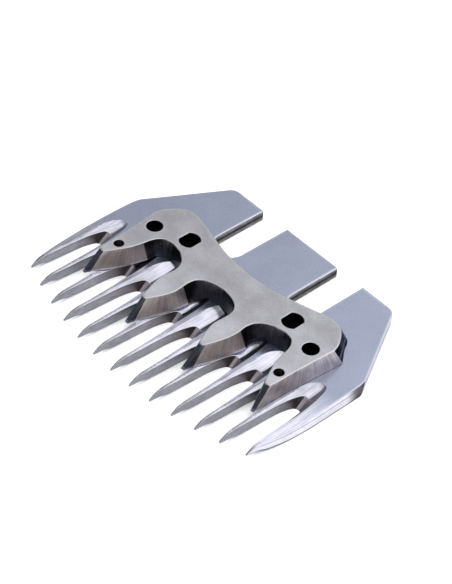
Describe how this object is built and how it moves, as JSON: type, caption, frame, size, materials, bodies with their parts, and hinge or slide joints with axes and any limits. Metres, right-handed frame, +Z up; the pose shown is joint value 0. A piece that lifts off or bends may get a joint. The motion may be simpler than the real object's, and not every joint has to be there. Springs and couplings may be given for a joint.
{
  "type": "sheep shear blade set",
  "caption": "Flat steel shearing comb with long pointed teeth and two open screw slots, carrying a thick pronged cutter that swings across the teeth.",
  "frame": {"origin": "middle of the comb's underside, under the centre of the set's bounding box", "axes": "+X across the teeth, -Y towards the tooth tips, +Z up from the comb to the cutter"},
  "size_m": [0.0808, 0.0632, 0.0082],
  "materials": {
    "comb_steel": "satin ground plate, polished teeth and scoops",
    "cutter_steel": "ground faces, with blackened walls where it was not ground"
  },
  "bodies": {
    "comb": {"comb": "comb_steel"},
    "cutter": {"cutter": "cutter_steel"}
  },
  "joints": [
    {"name": "cutter_swing", "type": "hinge", "parent": "comb", "child": "cutter", "pos_m": [0, 0.07745, 0], "axis": [0, 0, 1], "range_deg": [-6.4, 4.6]}
  ]
}
